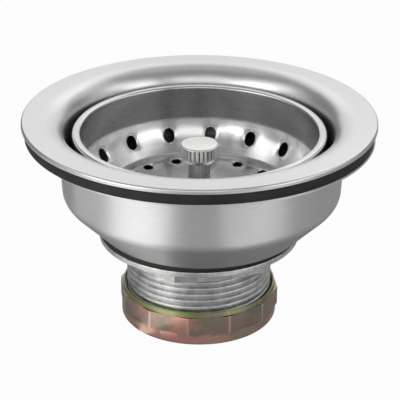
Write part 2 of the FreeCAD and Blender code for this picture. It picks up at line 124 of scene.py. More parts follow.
class DrainColours(bpy.types.PropertyGroup):
    """Colours of the finishes"""

    flange: colour("Flange", "Satin steel of the flange and bowl", (0.74, 0.74, 0.74))
    cup: colour("Cup", "Drawn steel of the clamping cup", (0.72, 0.72, 0.72))
    basket: colour("Basket", "Brushed steel inside the basket", (0.86, 0.86, 0.86))
    # Painted shade: this dark colour stands for the shade under and around the basket. The
    # basket's outer skin takes it, and the painted shade of the basket's rim and the knob is mixed
    # towards it.
    under: colour("Under", "Dull steel under the basket", (0.34, 0.34, 0.35))
    turned: colour("Turned", "Steel of the knob and stopper discs", (0.80, 0.79, 0.77))
    post: colour("Post", "Steel of the post", (0.42, 0.42, 0.42))
    thread: colour("Thread", "Zinc of the threaded spud", (0.68, 0.68, 0.68))
    locknut: colour("Locknut", "Bright zinc of the locknut", (0.74, 0.73, 0.71))
    rubber: colour("Rubber", "Black rubber", (0.012, 0.012, 0.012))
    polymer: colour("Polymer", "White polymer of the tail washer", (0.80, 0.80, 0.77))
    olive: colour("Olive film", "Plating on the nut's bevel", (0.24, 0.27, 0.11))
    lime: colour("Lime film", "Paler plating on the nut's bevel", (0.36, 0.35, 0.26))
    moss: colour("Moss film", "Plating where its film is thinnest", (0.24, 0.25, 0.20))
    tan: colour("Tan film", "Plating on most of the nut", (0.39, 0.315, 0.26))
    salmon: colour("Salmon film", "Plating where its film is thicker", (0.66, 0.37, 0.29))
    pink: colour("Pink film", "Plating where its film is thickest", (0.68, 0.31, 0.32))
    # Colour of the nut's corners and skirt: partly plating rubbed bright, partly a painted
    # highlight.
    edge: colour("Nut edge", "Plating rubbed bright at the nut's corners", (0.80, 0.55, 0.47))
    floor: colour("Floor", "Pale floor", (0.50, 0.50, 0.50))


def only(*pieces):
    """Select these objects alone; the first is the active one."""
    bpy.ops.object.select_all(action="DESELECT")
    for piece in pieces:
        piece.select_set(True)
    bpy.context.view_layer.objects.active = pieces[0]


@contextlib.contextmanager
def editing(piece):
    """Edit mode on one piece."""
    only(piece)
    bpy.ops.object.mode_set(mode="EDIT")
    yield
    bpy.ops.object.mode_set(mode="OBJECT")


def pick(piece, kind, wanted):
    """In edit mode, select only the vertices, edges or faces whose middle is wanted."""
    bpy.ops.mesh.select_mode(type={"verts": "VERT", "edges": "EDGE", "faces": "FACE"}[kind])
    bpy.ops.mesh.select_all(action="DESELECT")
    mesh = bmesh.from_edit_mesh(piece.data)
    for item in getattr(mesh, kind):
        corners = [item.co] if kind == "verts" else [vert.co for vert in item.verts]
        if wanted(sum(corners, Vector()) / len(corners), item):
            item.select_set(True)
    bmesh.update_edit_mesh(piece.data)


def move_points(piece, moved):
    """In edit mode or out of it, put each point where moved(point) says."""
    if piece.mode == "EDIT":
        mesh = bmesh.from_edit_mesh(piece.data)
        for vert in mesh.verts:
            vert.co = moved(vert.co)
        bmesh.update_edit_mesh(piece.data)
        return
    for vert in piece.data.vertices:
        vert.co = moved(vert.co)


def apply(piece, kind, **settings):
    """Add a modifier, set it up and apply it."""
    only(piece)
    modifier = piece.modifiers.new(kind.lower(), kind)
    for name, setting in settings.items():
        setattr(modifier, name, setting)
    bpy.ops.object.modifier_apply(modifier=modifier.name)


def copy_of(node, name):
    """A piece of its own, cut from a CAD node's mesh with its loose triangles joined."""
    piece = bpy.data.objects.new(name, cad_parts[node].data.copy())
    bpy.context.scene.collection.objects.link(piece)
    piece.data.materials.clear()
    with editing(piece):
        bpy.ops.mesh.select_all(action="SELECT")
        bpy.ops.mesh.remove_doubles(threshold=HAIR)
        bpy.ops.mesh.customdata_custom_splitnormals_clear()
    return piece


def outline_of(name, points, closed=False):
    """A line through (r, z) points, drawn at bearing 0."""
    bpy.ops.object.select_all(action="DESELECT")
    bpy.ops.mesh.primitive_circle_add(vertices=len(points), radius=1.0, location=(0, 0, 0))
    line = bpy.context.active_object
    line.name = name
    with editing(line):
        mesh = bmesh.from_edit_mesh(line.data)
        mesh.verts.ensure_lookup_table()
        for vert, (radius, level) in zip(mesh.verts, points):
            vert.co = (radius, 0, level)
        ends = {len(points) - 1, 0}
        for edge in list(mesh.edges):
            if not closed and {vert.index for vert in edge.verts} == ends:
                mesh.edges.remove(edge)
        bmesh.update_edit_mesh(line.data)
    return line


def finish_piece(piece, body, *nodes, crease=35.0):
    """Shade a piece smooth up to the crease angle, and let it ride for its CAD nodes."""
    only(piece)
    bpy.ops.object.shade_smooth_by_angle(angle=math.radians(crease))
    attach(piece, body)
    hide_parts(*nodes)


def radius_of(point):
    return math.hypot(point.x, point.y)


def sizes():
    return bpy.context.scene.drain_sizes


def colours():
    return bpy.context.scene.drain_colours


class DRAIN_OT_spud(bpy.types.Operator):
    """Cut the thread round the cast spud"""

    bl_idname = "drain.spud"
    bl_label = "Threaded spud"

    RUN_OUT = SPUD_SEAT - 4.2 * MM       # level at which the thread ends
    WALL_TOP = SPUD_SEAT - 1.65 * MM     # the plain wall is cut away below this level
    CUT_EDGE = SPUD_SEAT - 1.5 * MM      # and leaves an open edge below this one
    BORE_WALL = 0.15 * MM                # faces this near the bore stay
    CHAMFER = 0.8 * MM                   # at the spud's end
    CREST_SOFTNESS = 0.14 * MM
    FLANK_SHARE = 0.55                   # width of a flank as a share of the thread's depth
    TURNS_CUT_AWAY = 1.6                 # turns that start below the spud's end

    def execute(self, context):
        size = sizes()
        spud = copy_of("threaded_spud", "spud_casting")
        thread = self.thread(size)
        bore = size.spud_bore + self.BORE_WALL
        with editing(spud):
            pick(spud, "faces", lambda middle, face: (
                radius_of(middle) > bore and middle.z < self.WALL_TOP))
            bpy.ops.mesh.delete(type="FACE")
        only(spud, thread)
        bpy.ops.object.join()
        open_edges = ((SPUD_END - HAIR, SPUD_END + HAIR), (self.RUN_OUT - HAIR, self.CUT_EDGE))
        with editing(spud):
            for low, high in open_edges:
                pick(spud, "edges", lambda middle, edge: (
                    edge.is_boundary and low < middle.z < high))
                bpy.ops.mesh.bridge_edge_loops()
            bpy.ops.mesh.select_all(action="SELECT")
            bpy.ops.mesh.normals_make_consistent(inside=False)
        finish_piece(spud, "drain_body", "threaded_spud", crease=50.0)
        return {"FINISHED"}

    def thread(self, size):
        """The helical wall from the spud's end up to its run-out, open at both ends."""
        lead, crest, depth = size.thread_lead, size.thread_crest, size.thread_depth
        groove = crest - depth
        flank = depth * self.FLANK_SHARE
        root = lead - size.thread_land - 2 * flank
        foot = root + flank
        head = foot + size.thread_land
        soft = self.CREST_SOFTNESS
        profile = [
            (groove, 0.0), (groove, root), (groove + depth * 0.5, root + flank * 0.5),
            (crest - soft * 0.7, foot - soft * 0.2), (crest - soft * 0.2, foot + soft * 0.5),
            (crest, foot + soft * 1.4), (crest, head - soft * 1.4),
            (crest - soft * 0.2, head - soft * 0.5), (crest - soft * 0.7, head + soft * 0.2),
            (groove + depth * 0.5, head + flank * 0.5), (groove, lead)]
        start = SPUD_END - self.TURNS_CUT_AWAY * lead
        turns = math.ceil((self.RUN_OUT - start) / lead) + 1
        thread = outline_of("thread", [(radius, start + level) for radius, level in profile])
        apply(thread, "SCREW", axis="Z", angle=TURN, steps=96, render_steps=96, screw_offset=lead,
              iterations=turns)
        cuts = [
            (SPUD_END, True, False), (SPUD_END + self.CHAMFER, False, False),
            (self.RUN_OUT, False, True)]
        with editing(thread):
            bpy.ops.mesh.select_all(action="SELECT")
            bpy.ops.mesh.remove_doubles(threshold=HAIR)
            for level, below, above in cuts:
                bpy.ops.mesh.select_all(action="SELECT")
                bpy.ops.mesh.bisect(
                    plane_co=(0, 0, level), plane_no=(0, 0, 1), clear_inner=below,
                    clear_outer=above)

        def chamfered(point):
            most = crest - self.CHAMFER + (point.z - SPUD_END)
            scale = min(1.0, most / radius_of(point))
            return Vector((point.x * scale, point.y * scale, point.z))

        move_points(thread, chamfered)
        return thread


def softened(node, name, body, width, crease=35.0):
    """A CAD node's copy with its hard edges bevelled, to ride and show for the node."""
    piece = copy_of(node, name)
    with editing(piece):
        bpy.ops.mesh.select_all(action="SELECT")
        bpy.ops.mesh.dissolve_limited(angle_limit=math.radians(0.2))
    apply(piece, "BEVEL", width=width, segments=3, limit_method="ANGLE",
          angle_limit=math.radians(24), miter_outer="MITER_ARC")
    finish_piece(piece, body, node, crease=crease)


class DRAIN_OT_nuts(bpy.types.Operator):
    """Soften the cast edges of the locknut and the coupling nut"""

    bl_idname = "drain.nuts"
    bl_label = "Nuts"

    def execute(self, context):
        softened("locknut", "locknut_casting", "locknut_body", sizes().cast_edge)
        softened("coupling_nut", "coupling_nut_casting", "coupling", sizes().cast_edge)
        return {"FINISHED"}


class DRAIN_OT_turned_pieces(bpy.types.Operator):
    """Soften the edges of the knob, the post and the small metal pieces"""

    bl_idname = "drain.turned_pieces"
    bl_label = "Knob, post and small pieces"

    def execute(self, context):
        edge = sizes().turned_edge
        softened("knob", "knob_turning", "basket", edge)
        softened("lift_post", "post_turning", "basket", edge)
        softened("stopper_plate", "stopper_plate_disc", "basket", edge)
        softened("stopper_washer", "stopper_washer_disc", "basket", edge)
        softened("stopper_nut", "stopper_nut_hexagon", "basket", edge)
        return {"FINISHED"}


class DRAIN_OT_moulded_pieces(bpy.types.Operator):
    """Soften the edges of the rubber and polymer pieces"""

    bl_idname = "drain.moulded_pieces"
    bl_label = "Gasket, washers, seal and stopper"

    def execute(self, context):
        edge = sizes().moulded_edge
        softened("sink_gasket", "gasket_moulding", "clamp_stack", edge)
        softened("locknut_washer", "washer_moulding", "clamp_stack", edge)
        softened("spud_seal", "seal_moulding", "drain_body", edge)
        softened("stopper", "stopper_moulding", "basket", edge)
        softened("grip_ring", "grip_ring_moulding", "basket", edge)
        softened("tailpiece_washer", "tail_washer_moulding", "tail_washer", edge)
        return {"FINISHED"}


class SkinPath:
    """A turned sheet's skin, drawn through (r, z, bend) corners and read by length along it."""

    def __init__(self, corners):
        points = [Vector(corner[:2]) for corner in corners]
        self.parts = []
        here, along = points[0], 0.0
        for index in range(1, len(points)):
            heading = (points[index] - points[index - 1]).normalized()
            cut, turn, bend = 0.0, 0.0, corners[index][2]
            if index < len(points) - 1 and bend > 0:
                after = (points[index + 1] - points[index]).normalized()
                turn = math.atan2(heading.cross(after), heading.dot(after))
                cut = bend * math.tan(abs(turn) / 2)
            end = points[index] - heading * cut
            run = (end - here).length
            self.parts.append((along, run, here, heading, 0.0))
            along += run
            here = end
            if turn:
                self.parts.append((along, bend * abs(turn), here, heading, turn))
                along += bend * abs(turn)
                here = points[index] + after * cut
        self.length = along

    def at(self, along):
        """Point and heading at a length along the skin."""
        for start, run, here, heading, turn in self.parts:
            if along <= start + run + HAIR:
                break
        if not turn:
            return here + heading * (along - start), heading
        share = (along - start) / run
        chord = Matrix.Rotation(turn * share / 2, 2) @ heading
        reach = 2 * run / abs(turn) * math.sin(abs(turn) * share / 2)
        return here + chord * reach, Matrix.Rotation(turn * share, 2) @ heading

    def rows(self, spacing, bend_step):
        """Lengths that divide runs by spacing and bends by an angle."""
        rows = [0.0]
        for start, run, here, heading, turn in self.parts:
            steps = max(1, math.ceil(abs(turn) / bend_step if turn else run / spacing))
            rows += [start + run * (step + 1) / steps for step in range(steps)]
        return rows


def skin_of(corners):
    return SkinPath([(radius * MM, level * MM, bend * MM) for radius, level, bend in corners])


class DRAIN_OT_sheets(bpy.types.Operator):
    """Press the flanged bowl and the clamping cup from sheet"""

    bl_idname = "drain.sheets"
    bl_label = "Bowl and clamping cup"

    def execute(self, context):
        size = sizes()
        bowl = self.press("bowl_pressing", BOWL_SKIN, size.bowl_sheet, folded=True)
        finish_piece(bowl, "drain_body", "flanged_bowl")
        cup = self.press("cup_pressing", CUP_SKIN, size.cup_sheet)
        move_points(cup, lambda point: point + Vector((size.cup_shift, 0, 0)))
        finish_piece(cup, "clamp_stack", "clamping_cup")
        return {"FINISHED"}

    def press(self, name, corners, sheet, folded=False):
        """Turn a bent sheet about the axis; a folded one starts with its edge flat under it."""
        skin = skin_of(corners)
        fold = corners[0][0] * MM
        there, back = [], []
        for along in skin.rows(2.0 * MM, math.radians(6)):
            spot, heading = skin.at(along)
            there.append(spot)
            inner = spot + Vector((-heading.y, heading.x)) * sheet
            if not folded or inner.x < fold - HAIR:
                back.append(inner)
        if folded:
            back.insert(0, Vector((fold, FLANGE_TOP - sheet)))
        piece = outline_of(name, there + back[::-1], closed=True)
        apply(piece, "SCREW", axis="Z", angle=TURN, steps=STEPS, render_steps=STEPS,
              use_merge_vertices=True, merge_threshold=HAIR)
        with editing(piece):
            bpy.ops.mesh.select_all(action="SELECT")
            bpy.ops.mesh.remove_doubles(threshold=HAIR)
            bpy.ops.mesh.normals_make_consistent(inside=False)
        return piece


class DRAIN_OT_basket(bpy.types.Operator):
    """Draw the basket's sheet, punch its holes and roll their edges"""

    bl_idname = "drain.basket"
    bl_label = "Basket"

    COUNT = 16                   # holes in a row, each in its own sector of the sheet
    COLUMNS = 14                 # cells across a sector
    REACH = 37 * MM              # the flat sheet is as wide as the basket is round at this radius
    ROW_SPACING = 2.4 * MM
    BEND_STEP = math.radians(16)
    PATCH = 3                    # cells each side of a hole that its rings replace
    PATCH_MARGIN = 0.6           # cells beyond the patch that are kept free of other rows
    WALL_ROW_GAP = 1.14 * MM     # height of a patch's cells at the oval holes
    FLOOR_ROW_GAP = 0.62 * MM    # and at the round ones
    RINGS = (0.62, 0.3, 0.12, 0.0)    # how far each ring lies out from a hole, as a share
    ROLL_WIDTH = 0.28 * MM
    DIMPLE_WIDTH = 1.5 * MM

    def execute(self, context):
        size = sizes()
        skin = skin_of(BASKET_SKIN)
        bends = [part for part in skin.parts if part[4]]
        bulge = max(bends, key=lambda part: part[1] / abs(part[4]))
        floor = skin.parts[-1]
        holes = [
            Hole(skin, bulge[0] + bulge[1] / 2 + size.wall_hole_drop,
                 size.wall_hole_width / 2, size.wall_hole_length / 2, self.WALL_ROW_GAP),
            Hole(skin, floor[0] + floor[2].x - size.floor_hole_circle,
                 size.floor_hole_width / 2, size.floor_hole_width / 2, self.FLOOR_ROW_GAP)]
        rows = skin.rows(self.ROW_SPACING, self.BEND_STEP)
        steps = range(-self.PATCH, self.PATCH + 1)
        for hole in holes:
            reach = hole.row_gap * (self.PATCH + self.PATCH_MARGIN)
            rows = [row for row in rows if abs(row - hole.along) > reach]
            rows += [hole.along + hole.row_gap * step for step in steps]
        rows.sort()
        sector = TURN / self.COUNT * self.REACH
        bpy.ops.object.select_all(action="DESELECT")
        bpy.ops.mesh.primitive_grid_add(
            x_subdivisions=self.COLUMNS, y_subdivisions=len(rows) - 1, size=2.0,
            location=(0, 0, 0))
        basket = bpy.context.active_object
        basket.name = "basket_pressing"
        with editing(basket):
            move_points(basket, lambda point: Vector((
                point.x * sector / 2, rows[round((point.y + 1) / 2 * (len(rows) - 1))], 0)))
            for hole in holes:
                self.punch(basket, hole, sector)
            bpy.ops.mesh.select_all(action="SELECT")
            bpy.ops.mesh.normals_make_consistent(inside=False)
        if basket.data.polygons[0].normal.z < 0:
            basket.data.flip_normals()
        move_points(basket, lambda point: self.drawn_down(point, holes, size))
        apply(basket, "ARRAY", count=self.COUNT, use_relative_offset=False,
              use_constant_offset=True, constant_offset_displace=(sector, 0, 0),
              use_merge_vertices=True, merge_threshold=HAIR)
        move_points(basket, lambda point: self.wrapped(point, skin, size.first_hole))
        with editing(basket):
            bpy.ops.mesh.select_all(action="SELECT")
            bpy.ops.mesh.remove_doubles(threshold=HAIR)
        basket.data.materials.append(None)
        basket.data.materials.append(None)
        apply(basket, "SOLIDIFY", thickness=size.basket_sheet, offset=-1, use_quality_normals=True,
              use_rim=True, material_offset=1, material_offset_rim=0)
        finish_piece(basket, "basket", "basket_cup", crease=38.0)
        return {"FINISHED"}

    def punch(self, basket, hole, sector):
        """Swap a patch of the flat sheet for rings that close in on the hole's edge."""
        wide, tall = self.PATCH * sector / self.COLUMNS, self.PATCH * hole.row_gap

        def patch_reach(point):
            return max(abs(point.x) / wide, abs(point.y - hole.along) / tall)

        pick(basket, "faces", lambda middle, face: patch_reach(middle) < 1)
        bpy.ops.mesh.delete(type="FACE")
        pick(basket, "edges", lambda middle, edge: (
            edge.is_boundary and abs(patch_reach(middle) - 1) < 0.01))
        room = hole.reach(Vector((0, hole.along + tall))) - 1
        for ring, share in enumerate(self.RINGS):
            bpy.ops.mesh.extrude_region_move()
            mesh = bmesh.from_edit_mesh(basket.data)
            for vert in mesh.verts:
                if vert.select:
                    across, up = vert.co.x / wide, (vert.co.y - hole.along) / tall
                    angle = hole.angle(vert.co) if ring else square_angle(across, up)
                    vert.co = hole.point(angle, 1 + room * share)
            bmesh.update_edit_mesh(basket.data)

    def drawn_down(self, point, holes, size):
        """A point of the flat sheet, sunk near the holes."""
        sunk = 0.0
        for hole in holes:
            away = hole.away(point)
            sunk += size.hole_roll * math.exp(-(away / self.ROLL_WIDTH) ** 2)
            sunk += size.hole_dimple * math.exp(-(away / self.DIMPLE_WIDTH) ** 2)
        return Vector((point.x, point.y, -sunk))

    def wrapped(self, point, skin, first):
        """A point of the flat sheet, laid round the axis on the skin."""
        spot, heading = skin.at(point.y)
        radius = spot.x + heading.y * point.z
        level = spot.y - heading.x * point.z
        bearing = first + point.x / self.REACH
        return Vector((radius * math.cos(bearing), radius * math.sin(bearing), level))


def square_angle(across, up):
    """Angle round a circle for a point on the square that holds it, with even steps kept even."""
    if abs(across) >= abs(up):
        return math.pi / 4 * up / across + (math.pi if across < 0 else 0.0)
    return math.copysign(math.pi / 2, up) - math.pi / 4 * across / up


class Hole:
    """A punched hole, drawn on the flat sheet: across it, and along the skin."""

    def __init__(self, skin, along, half_width, half_height, row_gap):
        self.skin = skin
        self.along = along
        self.half_width = half_width
        self.half_height = half_height
        self.row_gap = row_gap

    def point(self, angle, scale):
        along = self.along + self.half_height * scale * math.sin(angle)
        radius = self.skin.at(along)[0].x
        across = self.half_width * scale * math.cos(angle)
        return Vector((across / radius * DRAIN_OT_basket.REACH, along, 0))

    def shares(self, point):
        """Offsets from the hole's middle as shares of its half width and half height."""
        radius = self.skin.at(point.y)[0].x
        across = point.x * radius / DRAIN_OT_basket.REACH
        return across / self.half_width, (point.y - self.along) / self.half_height

    def angle(self, point):
        across, up = self.shares(point)
        return math.atan2(up, across)

    def reach(self, point):
        """1 on the hole's edge, and more outside it."""
        return math.hypot(*self.shares(point))

    def away(self, point):
        """Distance from a point of the flat sheet to the hole's edge."""
        return max(0.0, self.reach(point) - 1) * self.half_height


class Value:
    """One output of a node, which Python's arithmetic turns into Math nodes."""

    def __init__(self, finish, socket):
        self.finish = finish
        self.socket = socket

    def math(self, operation, *others):
        return self.finish.node("ShaderNodeMath", {"operation": operation}, self, *others)

    def __add__(self, other):
        return self.math("ADD", other)

    def __radd__(self, other):
        return self.math("ADD", other)

    def __sub__(self, other):
        return self.math("SUBTRACT", other)

    def __rsub__(self, other):
        return self.finish.node("ShaderNodeMath", {"operation": "SUBTRACT"}, other, self)

    def __mul__(self, other):
        return self.math("MULTIPLY", other)

    def __truediv__(self, other):
        return self.math("DIVIDE", other)

    def __pow__(self, other):
        return self.math("POWER", other)

    def sine(self):
        return self.math("SINE")

    def cosine(self):
        return self.math("COSINE")

    def clamped(self):
        return self.finish.node(
            "ShaderNodeMath", {"operation": "ADD", "use_clamp": True}, self, 0.0)

    def between(self, low, high):
        """0 at low, 1 at high and a smooth change from one to the other."""
        return self.finish.node(
            "ShaderNodeMapRange", {"interpolation_type": "SMOOTHSTEP"}, self, low, high, 0.0, 1.0)


class Finish:
    """A material that is built up from nodes, on one Principled BSDF."""

    def __init__(self, name, **settings):
        self.material = bpy.data.materials.new(name)
        self.material.use_nodes = True
        self.tree = self.material.node_tree
        self.shader = self.tree.nodes["Principled BSDF"]
        for socket, value in settings.items():
            self.shader.inputs[socket.replace("_", " ")].default_value = value

    def link(self, value, socket):
        if isinstance(value, Value):
            self.tree.links.new(value.socket, socket)
        elif value is not None:
            socket.default_value = value

    def node(self, kind, settings=None, *values, output=0, **named):
        """Adds a node, sets it up, and fills its sockets in order or by name."""
        node = self.tree.nodes.new(kind)
        for name, setting in (settings or {}).items():
            if name == "stops":
                self.set_stops(node.color_ramp, setting)
            else:
                setattr(node, name, setting)
        for index, value in enumerate(values):
            self.link(value, node.inputs[index])
        for name, value in named.items():
            self.link(value, node.inputs[name.replace("_", " ")])
        return Value(self, node.outputs[output])

    @staticmethod
    def set_stops(ramp, stops):
        while len(ramp.elements) < len(stops):
            ramp.elements.new(1.0)
        for element, (position, colour) in zip(ramp.elements, stops):
            element.position = position
            element.color = (*colour, 1.0)

    def ramp(self, value, *stops):
        return self.node("ShaderNodeValToRGB", {"stops": stops}, value)

    def place(self):
        """Object coordinates as x, y and z."""
        point = self.node("ShaderNodeTexCoord", output=3)
        return [self.node("ShaderNodeSeparateXYZ", None, point, output=i) for i in range(3)]

    def point(self, x, y, z):
        return self.node("ShaderNodeCombineXYZ", None, x, y, z)

    def round_the_axis(self, along=1.0, across=1.0):
        """A point whose noise runs in rings round the axis, with no seam."""
        x, y, z = self.place()
        radius = (x * x + y * y) ** 0.5
        return self.point(x / radius * along, y / radius * along, radius * across), z * across

    def brush_marks(self, lean, fineness, stretch):
        """Noise drawn out into streaks that lean round the axis as they go down."""
        x, y, z = self.place()
        radius = (x * x + y * y) ** 0.5
        down = radius - z
        turn = down * lean
        cosine, sine = turn.cosine(), turn.sine()
        across = (x * cosine - y * sine) / radius
        along = (x * sine + y * cosine) / radius
        return self.noise(
            self.point(across * fineness, along * fineness, down * stretch), 1.0, 3.0, 0.6)

    def noise(self, vector, scale=1.0, detail=2.0, roughness=0.5, level=0.0):
        return self.node(
            "ShaderNodeTexNoise", {"noise_dimensions": "4D"}, vector, level, scale, detail,
            roughness)

    def mix(self, factor, first, second, blend="MIX"):
        return self.node(
            "ShaderNodeMix", {"data_type": "RGBA", "blend_type": blend}, factor, None, None, None,
            None, None, first, second, output=2)

    def bump(self, height, strength, distance):
        return self.node(
            "ShaderNodeBump", None, Strength=strength, Distance=distance, Height=height)

    def set(self, **sockets):
        for socket, value in sockets.items():
            self.link(value, self.shader.inputs[socket.replace("_", " ")])

    def dress(self, *names, skin=None):
        """Give pieces this finish, or only the skin of a sheet that has two."""
        for name in names:
            piece = bpy.data.objects[name]
            if skin is not None:
                piece.data.materials[skin] = self.material
                continue
            piece.data.materials.clear()
            piece.data.materials.append(self.material)


def shaded(shade, factor):
    """A colour made darker or lighter, with its alpha."""
    return (*(channel * factor for channel in shade), 1.0)


# Painted shade on part of a sheet: the levels in millimetres between which it comes in, its share
# of the shade, the share of the brush's marks that is left outside it, and the level it ends
# under.
PaintedShadeBand = collections.namedtuple("PaintedShadeBand", "start end share outer_marks top")
PAINTED_SHADE_EDGE = 0.4                  # mm in which a band ends


def brushed_steel(name, shade, roughness, anisotropy, marks=0.3, lean=25.0, rings=0.2,
                  painted_shade_band=None, fineness=150.0):
    """Stainless steel polished in rings round the axis, with the leaning marks of its brush.

    marks is the depth of the brush's marks, lean how far they turn round the axis on their way
    down, fineness how narrow they are, and rings the depth of the polish's rings.
    """
    steel = Finish(name, Metallic=1.0, Anisotropic=anisotropy, Anisotropic_Rotation=0.25)
    fine, fine_level = steel.round_the_axis(along=4.0, across=7000.0)
    scratches = steel.noise(fine, detail=3.0, roughness=0.6, level=fine_level)
    broad, broad_level = steel.round_the_axis(along=1.5, across=700.0)
    bands = steel.noise(broad, level=broad_level)
    streaks = steel.brush_marks(lean, fineness, stretch=60.0)
    tone = steel.mix(scratches.between(0.3, 0.7), shaded(shade, 0.92), shaded(shade, 1.0))
    marked_and_painted_light = steel.mix(streaks.between(0.42, 0.75) * marks, tone, shaded(shade, 1.12))
    depth, haze = marks, 0.0
    # Painted shade: between the band's levels the colour is multiplied by its share, the sheet is
    # a little rougher, and the brush's marks are shallower outside it.
    if painted_shade_band:
        level = steel.place()[2]
        inside = level.between(painted_shade_band.start * MM, painted_shade_band.end * MM)
        inside = inside * level.between(painted_shade_band.top * MM, (painted_shade_band.top - PAINTED_SHADE_EDGE) * MM)
        painted_band_shade = steel.mix(1.0, marked_and_painted_light, shaded((painted_shade_band.share,) * 3, 1.0), "MULTIPLY")
        marked_and_painted_light = steel.mix(inside, marked_and_painted_light, painted_band_shade)
        depth = (inside * (1 - painted_shade_band.outer_marks) + painted_shade_band.outer_marks) * marks
        haze = inside * 0.05
    steel.tone = marked_and_painted_light
    steel.set(
        Base_Color=marked_and_painted_light,
        Roughness=haze + (roughness + (scratches - 0.5) * 0.10 + (bands - 0.5) * 0.07
                          + (streaks - 0.5) * depth * 0.3),
        Normal=steel.bump(scratches * rings + streaks * depth, 0.35, 0.00003))
    return steel


def basket_steel(name, shades):
    """Steel of the basket's inside, with painted shade on its upper wall and a little on its rim.
    """
    basket = brushed_steel(
        name, shades.basket, roughness=0.24, anisotropy=0.6, marks=0.42, lean=35.0,
        painted_shade_band=PaintedShadeBand(start=53.2, end=54.6, share=0.38, outer_marks=0.1, top=65.0))
    # Painted shade on the rim: its colour is mixed 30 per cent of the way to the dark under
    # colour.
    painted_rim_shade = basket.place()[2].between(64.6 * MM, 65.0 * MM)
    basket.set(Base_Color=basket.mix(painted_rim_shade * 0.3, basket.tone, shaded(shades.under, 1.0)))
    return basket


def knob_steel(name, shades):
    """Steel of the knob, with painted shade in its grooves and in a ring round its top."""
    knob = brushed_steel(
        name, shades.turned, roughness=0.24, anisotropy=0.7, marks=0.05, rings=0.08)
    x, y, z = knob.place()
    radius = (x * x + y * y) ** 0.5
    groove = radius.between(6.35 * MM, 6.1 * MM)
    grip = z.between(56.3 * MM, 56.7 * MM) * z.between(60.2 * MM, 60.0 * MM)
    ring = radius.between(5.7 * MM, 5.85 * MM) * radius.between(6.2 * MM, 6.05 * MM)
    top = z.between(60.0 * MM, 60.2 * MM)
    # Painted shade: the grip's grooves and the ring round the top are mixed toward a darkened
    # under colour.
    painted_groove_shade = groove * grip * 0.8 + ring * top * 0.7
    knob.set(Base_Color=knob.mix(painted_groove_shade, knob.tone, shaded(shades.under, 0.4)))
    return knob


def dull_steel(name, shade):
    """Unpolished steel with the haze of its drawing."""
    steel = Finish(name, Metallic=1.0)
    x, y, z = steel.place()
    haze = steel.noise(steel.point(x, y, z), scale=180.0, detail=4.0, roughness=0.6)
    drawn = steel.brush_marks(lean=0.0, fineness=40.0, stretch=30.0)
    steel.set(
        Base_Color=steel.mix(haze.between(0.3, 0.7), shaded(shade, 0.75), shaded(shade, 1.0)),
        Roughness=0.48 + (haze - 0.5) * 0.3,
        Normal=steel.bump(drawn, 0.3, 0.00005))
    return steel


def rubber(name, shade):
    """Black rubber with a fine moulded grain and a faint bloom."""
    skin = Finish(name, Specular_IOR_Level=0.35)
    x, y, z = skin.place()
    grain = skin.noise(skin.point(x, y, z), scale=2500.0, detail=3.0, roughness=0.6)
    bloom = skin.noise(skin.point(x, y, z), scale=90.0)
    skin.set(
        Base_Color=skin.mix(bloom.between(0.4, 0.8), shaded(shade, 1.0), shaded(shade, 2.0)),
        Roughness=0.62 + (bloom - 0.5) * 0.2,
        Normal=skin.bump(grain, 0.25, 0.00005))
    return skin


def cast_zinc(name, shade, roughness, grit):
    """Zinc with the grain and blotches of its casting."""
    zinc = Finish(name, Metallic=1.0)
    x, y, z = zinc.place()
    grain = zinc.noise(zinc.point(x, y, z), scale=1400.0, detail=4.0, roughness=0.65)
    blotches = zinc.noise(zinc.point(x, y, z), scale=260.0, detail=3.0, roughness=0.6)
    zinc.set(
        Base_Color=zinc.mix(
            blotches.between(0.35, 0.65), shaded(shade, 0.72), shaded(shade, 1.0)),
        Roughness=roughness + (blotches - 0.5) * 0.25,
        Normal=zinc.bump(grain, grit, 0.0001))
    return zinc


def plating(name, shades):
    """Passivated plating, whose film turns from moss through tan and salmon to pink."""
    plate = Finish(name, Metallic=1.0)
    x, y, z = plate.place()
    radius = (x * x + y * y) ** 0.5
    facing = (x * math.cos(PINK_SIDE) + y * math.sin(PINK_SIDE)) / radius
    lobes = facing * (facing * facing * 4 - 3)
    drift = plate.noise(plate.point(x, y, z), scale=95.0, detail=4.0, roughness=0.62)
    specks = plate.noise(plate.point(x, y, z), scale=900.0, roughness=0.6)
    flats = z.between(NUT_SKIRT[0] * MM, NUT_SKIRT[1] * MM)
    skirt = 1 - flats
    around = (y.math("ARCTAN2", x) - NUT_CORNER) * NUT_SIDES
    # At the corners of the flats the film is thicker and the colour lighter: partly plating rubbed
    # bright, partly a painted highlight.
    corner = around.cosine().between(0.965, 0.998) * flats
    film = (
        FILM_MIDDLE + lobes * 0.2 + (drift - 0.5) * 1.2 + (specks - 0.5) * 0.4 + skirt * 0.2
        + corner * 0.3)
    body = plate.ramp(
        film, (0.1, shades.moss), (0.32, shades.tan), (0.5, shades.tan),
        (0.66, shades.salmon), (0.9, shades.pink))
    # Corners and skirt are lightened toward the edge colour. On the skirt this is a painted
    # highlight; on the corners it is partly rubbed plating and partly a painted highlight.
    marked_and_painted_light = plate.mix(corner * 0.6 + skirt * 0.3, body, shaded(shades.edge, 1.0))
    bevel = z.between(NUT_BEVEL[0] * MM, NUT_BEVEL[1] * MM)
    olive = plate.mix(
        (drift + facing * 0.12).between(0.38, 0.62), shaded(shades.lime, 1.0),
        shaded(shades.olive, 1.0))
    plate.set(
        Base_Color=plate.mix(bevel * (0.85 + lobes * 0.2).clamped(), marked_and_painted_light, olive),
        Roughness=0.36 + (specks - 0.5) * 0.25 + (drift - 0.5) * 0.2,
        Normal=plate.bump(specks, 0.3, 0.00008))
    return plate


